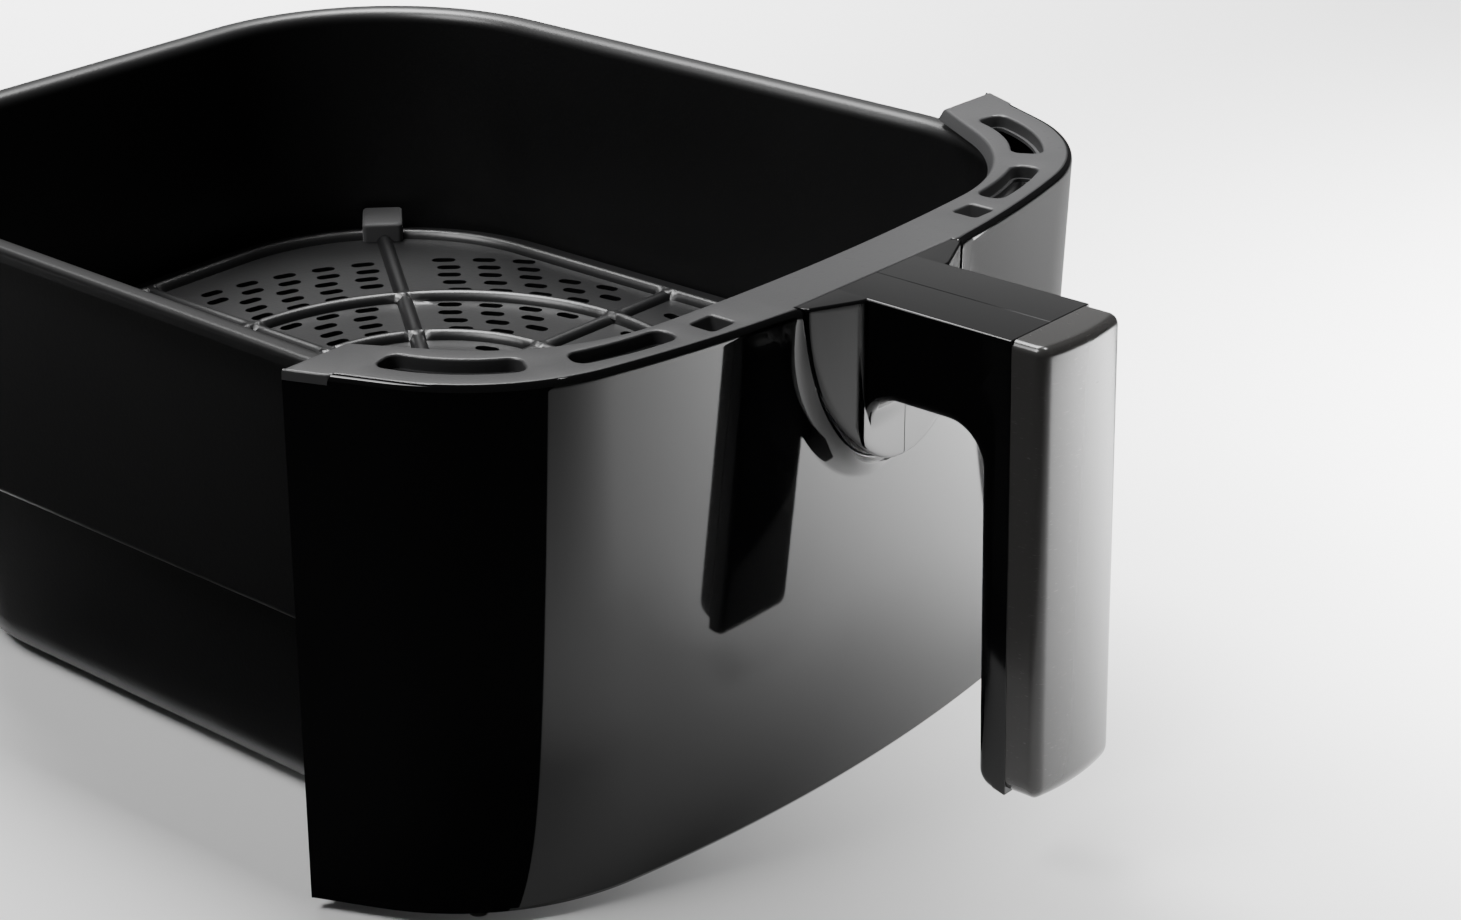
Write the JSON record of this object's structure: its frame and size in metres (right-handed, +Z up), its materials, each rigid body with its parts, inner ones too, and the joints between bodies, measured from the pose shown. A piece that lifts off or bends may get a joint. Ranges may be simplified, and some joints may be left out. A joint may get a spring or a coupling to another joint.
{
  "type": "air fryer drawer",
  "caption": "Removable air fryer drawer: deep non-stick pan with crisper plate, bowed gloss black front, vented trim and an L-shaped handle with a grey grip.",
  "frame": {"origin": "centre of the pan's flat base", "axes": "+Z up, -Y towards the handle and the user, +X to the user's right when facing the front"},
  "size_m": [0.2738, 0.362, 0.1432],
  "materials": {
    "nonstick_black": "satin non-stick coating on pressed steel",
    "nonstick_plate": "satin non-stick coating on the plate",
    "gloss_black_plastic": "polished moulded plastic",
    "handle_plastic": "polished moulded plastic",
    "trim_plastic": "satin moulded plastic",
    "liner_plastic": "fine spark-eroded texture",
    "grip_grey_plastic": "satin-gloss moulded plastic",
    "seal_silicone": "matt silicone",
    "bumper_silicone": "matt silicone",
    "plated_steel": "zinc-plated sheet",
    "zinc_steel": "zinc-plated screw",
    "stainless_steel": "turned rivet head"
  },
  "bodies": {
    "drawer": {"pan": "nonstick_black", "handle_bracket": "plated_steel", "bracket_rivets": "stainless_steel", "front_shell": "gloss_black_plastic", "top_trim": "trim_plastic", "inner_liner": "liner_plastic", "rim_seal": "seal_silicone", "trim_screws": "zinc_steel", "shell_screws": "zinc_steel", "handle_left_half": "handle_plastic", "handle_right_half": "handle_plastic", "handle_core": "plated_steel", "core_bolts": "zinc_steel", "handle_screws": "zinc_steel", "grip_cover": "grip_grey_plastic", "grip_cover_screws": "zinc_steel"},
    "crisper": {"crisper_plate": "nonstick_plate", "bumper_front_left": "bumper_silicone", "bumper_front_right": "bumper_silicone", "bumper_back_left": "bumper_silicone", "bumper_back_right": "bumper_silicone"}
  },
  "joints": [
    {"name": "crisper_lift", "type": "slide", "parent": "drawer", "child": "crisper", "axis": [0, 0, 1], "range_m": [0, 0.11]}
  ]
}
